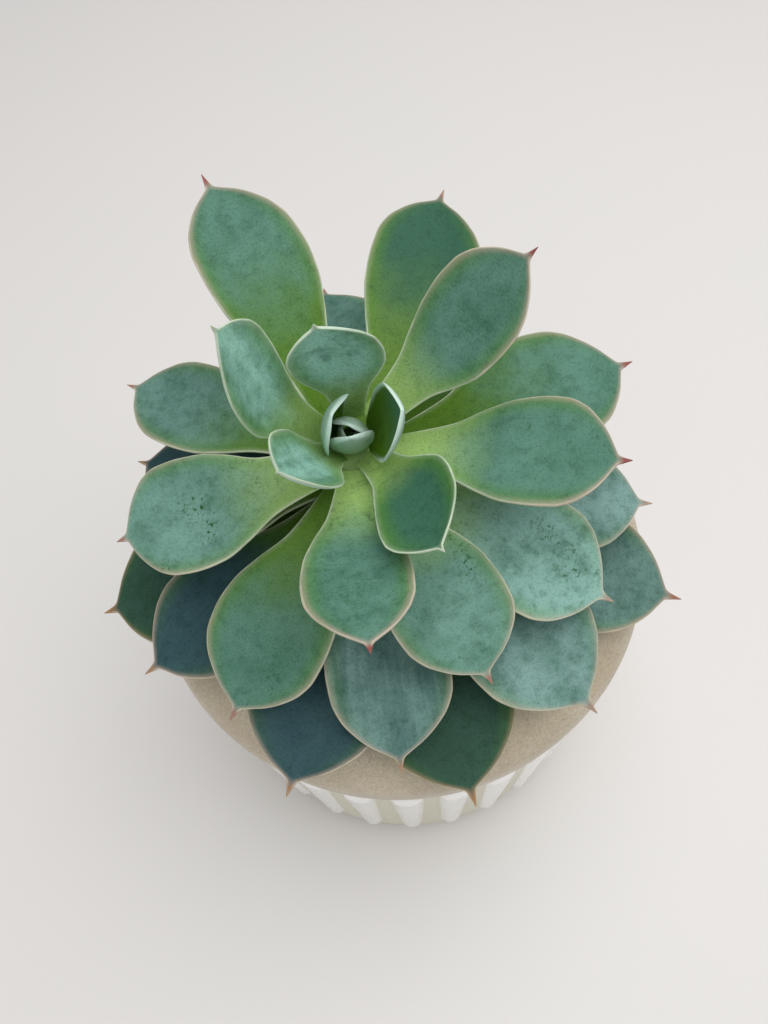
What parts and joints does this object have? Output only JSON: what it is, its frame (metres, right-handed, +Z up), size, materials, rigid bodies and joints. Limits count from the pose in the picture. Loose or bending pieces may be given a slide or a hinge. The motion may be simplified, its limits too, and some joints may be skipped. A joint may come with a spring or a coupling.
{
  "type": "potted succulent",
  "caption": "Blue-green rosette succulent on a short leaning stem, in a round stoneware pot with a rounded tan collar and raised white drops round its wall.",
  "frame": {"origin": "centre of the pot's flat base, on the surface that it stands on", "axes": "+Z up along the pot's axis; -Y is the plant's front, the way the crown nods; +X is to the right seen from the front"},
  "size_m": [0.1286, 0.129, 0.1702],
  "materials": {
    "stoneware": "satin",
    "soil": "matte",
    "stem": "matte",
    "young_leaf": "satin",
    "leaf": "satin",
    "old_leaf": "satin"
  },
  "bodies": {
    "root": {"pot": "stoneware", "potting_soil": "soil", "stem": "stem", "bud_leaf_1": "young_leaf", "bud_leaf_2": "young_leaf", "bud_leaf_3": "young_leaf", "bud_leaf_4": "young_leaf", "bud_leaf_5": "young_leaf", "bud_leaf_6": "young_leaf", "leaf_01": "leaf", "leaf_02": "leaf", "leaf_03": "leaf", "leaf_04": "leaf", "leaf_05": "leaf", "leaf_06": "leaf", "leaf_07": "leaf", "leaf_08": "leaf", "leaf_09": "leaf", "leaf_10": "leaf", "leaf_11": "leaf", "leaf_12": "leaf", "leaf_13": "leaf", "leaf_14": "leaf", "leaf_15": "leaf", "leaf_16": "leaf", "leaf_17": "leaf", "leaf_18": "leaf", "leaf_19": "old_leaf", "leaf_20": "old_leaf", "leaf_21": "old_leaf", "leaf_22": "old_leaf", "leaf_23": "old_leaf", "leaf_24": "old_leaf", "leaf_25": "old_leaf", "leaf_26": "old_leaf", "leaf_27": "old_leaf", "leaf_28": "old_leaf", "leaf_29": "old_leaf", "leaf_30": "old_leaf", "leaf_31": "old_leaf", "leaf_32": "old_leaf"}
  },
  "joints": []
}
